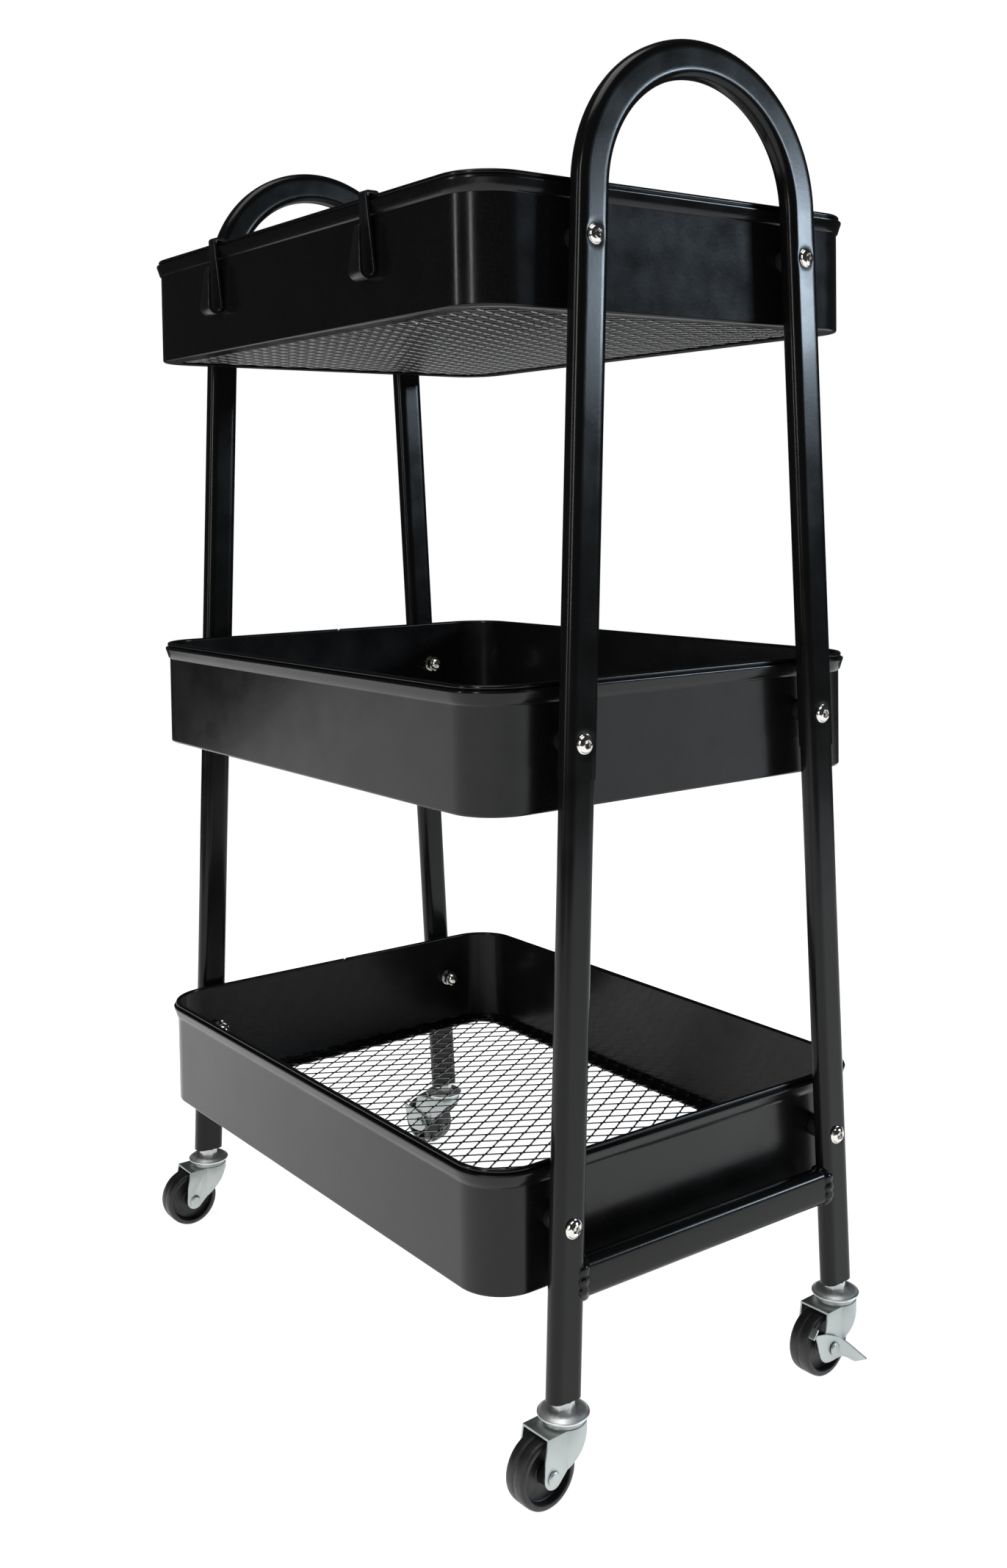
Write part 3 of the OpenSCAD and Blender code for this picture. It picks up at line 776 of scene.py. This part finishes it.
def caster_frame(corner):
    """Matrix of a caster's axle: X along it to the lever's side, Y towards the stem, Z up."""
    axle = Vector(joint(f"roll_{corner}")["pos_m"])
    stem = Vector(joint(f"swivel_{corner}")["pos_m"])
    y_axis = Vector((stem.x - axle.x, stem.y - axle.y, 0)).normalized()
    z_axis = Vector((0, 0, 1))
    turn = Matrix((y_axis.cross(z_axis), y_axis, z_axis)).transposed().to_4x4()
    return Matrix.Translation(axle) @ turn


def build_lever(corner):
    """Brake lever: one bent sheet from leaf to pedal, and the shoe over the tread."""
    node = f"brake_lever_{corner}"
    place = caster_frame(corner)
    source = frame["nodes"][node]
    to_local = place.inverted() @ source.matrix_world
    points = [(to_local @ v.co) / MM for v in source.data.vertices]
    face_x = min(p.x for p in points if abs(p.y) < 5 and abs(p.z) < 5)
    half = LEVER_THICK_MM / 2
    shoe_x = face_x - SHOE_REACH_MM
    bm = bmesh.new()
    spine = [Vector(((top[0] + low[0]) / 2, y, (top[1] + low[1]) / 2)) for y, top, low in LEVER_SHEET]
    rings = []
    for i, (y, top, low) in enumerate(LEVER_SHEET):
        run = spine[min(i + 1, len(spine) - 1)] - spine[max(i - 1, 0)]
        rise = Vector((top[0] - low[0], 0, top[1] - low[1]))
        tall = rise.length
        rise.normalize()
        normal = run.cross(rise).normalized()
        centre = spine[i] + Vector((face_x + half, 0, 0))
        ring = []
        for a, b in rounded_outline(LEVER_THICK_MM, tall, min(0.4, tall * 0.25), arc_steps=3, flat_steps=4):
            ring.append(place @ ((centre + rise * b + normal * a) * MM))
        rings.append(ring)
    add_loft(bm, rings, caps=True)
    shoe_turn = Matrix.Rotation(math.radians(SHOE_TURN_DEG), 4, "X")
    rings = []
    for x, inset in ((shoe_x, 0.25), (shoe_x + 0.3, 0), (face_x + half, 0)):
        outline = rounded_outline(SHOE_W_MM - inset, LEVER_THICK_MM - inset, 0.4, arc_steps=3, flat_steps=2)
        rings.append([place @ shoe_turn @ (Vector((x, a, SHOE_R_MM + half + b)) * MM) for a, b in outline])
    add_loft(bm, rings, caps=True)
    piece = finish_mesh(bm, f"{node}_sheet", smooth_angle=40)
    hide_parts(node)
    settle(piece, f"brake_{corner}", ZINC)


def build_caster(side_name, end_name):
    corner = f"{side_name}_{end_name}"
    fork = f"fork_{corner}"
    settle(softened(f"caster_stem_{corner}", 0.3 * MM), "cart", RACE_ZINC)
    settle(softened(f"caster_fork_{corner}", 0.3 * MM), fork, ZINC)
    settle(softened(f"wheel_axle_{corner}", 0.25 * MM), fork, ZINC)
    settle(softened(f"caster_balls_{corner}", 0.01 * MM), fork, STEEL)
    build_wheel(corner)
    if (side_name, end_name) in BRAKED:
        build_lever(corner)


for side_name, end_name in CORNERS:
    build_caster(side_name, end_name)

# ---- hooks ----

for end_name in ENDS:
    hook = softened(f"hook_{end_name}", 0.5 * MM, segments=3)
    settle(hook, f"hook_{end_name}", HOOK_PLASTIC)

# ---- studio ----

# Half the floor's side: past it, paint reflects the dark studio
FLOOR_HALF = 1.5


def add_floor():
    mesh = bpy.data.meshes.new("studio_floor")
    size = FLOOR_HALF
    corners = [(-size, -size, 0), (size, -size, 0), (size, size, 0), (-size, size, 0)]
    mesh.from_pydata(corners, [], [(0, 1, 2, 3)])
    floor = bpy.data.objects.new("studio_floor", mesh)
    bpy.context.scene.collection.objects.link(floor)
    mat, nodes, links, shader = new_material("pale_floor")
    shader.inputs["Base Color"].default_value = (0.9, 0.9, 0.9, 1)
    shader.inputs["Roughness"].default_value = 0.9
    shader.inputs["Specular IOR Level"].default_value = 0.0
    shader.inputs["Emission Color"].default_value = (1, 1, 1, 1)
    shader.inputs["Emission Strength"].default_value = 0.9
    mesh.materials.append(mat)


def add_area(name, at, target, size, power, colour=(1, 1, 1)):
    data = bpy.data.lights.new(name, "AREA")
    data.shape = "RECTANGLE"
    data.size, data.size_y = size
    data.energy = power
    data.color = colour
    light = bpy.data.objects.new(name, data)
    light.location = at
    light.rotation_euler = (Vector(target) - Vector(at)).to_track_quat("-Z", "Y").to_euler()
    bpy.context.scene.collection.objects.link(light)


def add_world():
    world = bpy.data.worlds.new("studio_world")
    bpy.context.scene.world = world
    world.use_nodes = True
    nodes, links = world.node_tree.nodes, world.node_tree.links
    background = nodes["Background"]
    out = nodes["World Output"]
    background.inputs["Color"].default_value = (0.035, 0.036, 0.038, 1)
    backdrop = nodes.new("ShaderNodeBackground")
    backdrop.inputs["Color"].default_value = (1, 1, 1, 1)
    backdrop.inputs["Strength"].default_value = 1.0
    path = nodes.new("ShaderNodeLightPath")
    mix = nodes.new("ShaderNodeMixShader")
    links.new(path.outputs["Is Camera Ray"], mix.inputs["Fac"])
    links.new(background.outputs["Background"], mix.inputs[1])
    links.new(backdrop.outputs["Background"], mix.inputs[2])
    links.new(mix.outputs["Shader"], out.inputs["Surface"])


add_floor()
add_world()
add_area("top_light", (0.2, -0.4, 2.6), (0, 0, 0.4), (1.6, 1.6), 26)
add_area("front_strip", (0.95, -2.3, 1.15), (0, 0, 0.5), (0.22, 1.5), 14)
add_area("end_light", (2.45, 2.3, 1.1), (0.2, 0.05, 0.66), (0.7, 0.4), 34, (0.7, 0.85, 1.0))
add_area("edge_strip", (-0.6, -2.6, 0.9), (0, 0, 0.5), (0.12, 1.5), 8)
bpy.context.scene.view_settings.view_transform = "Standard"
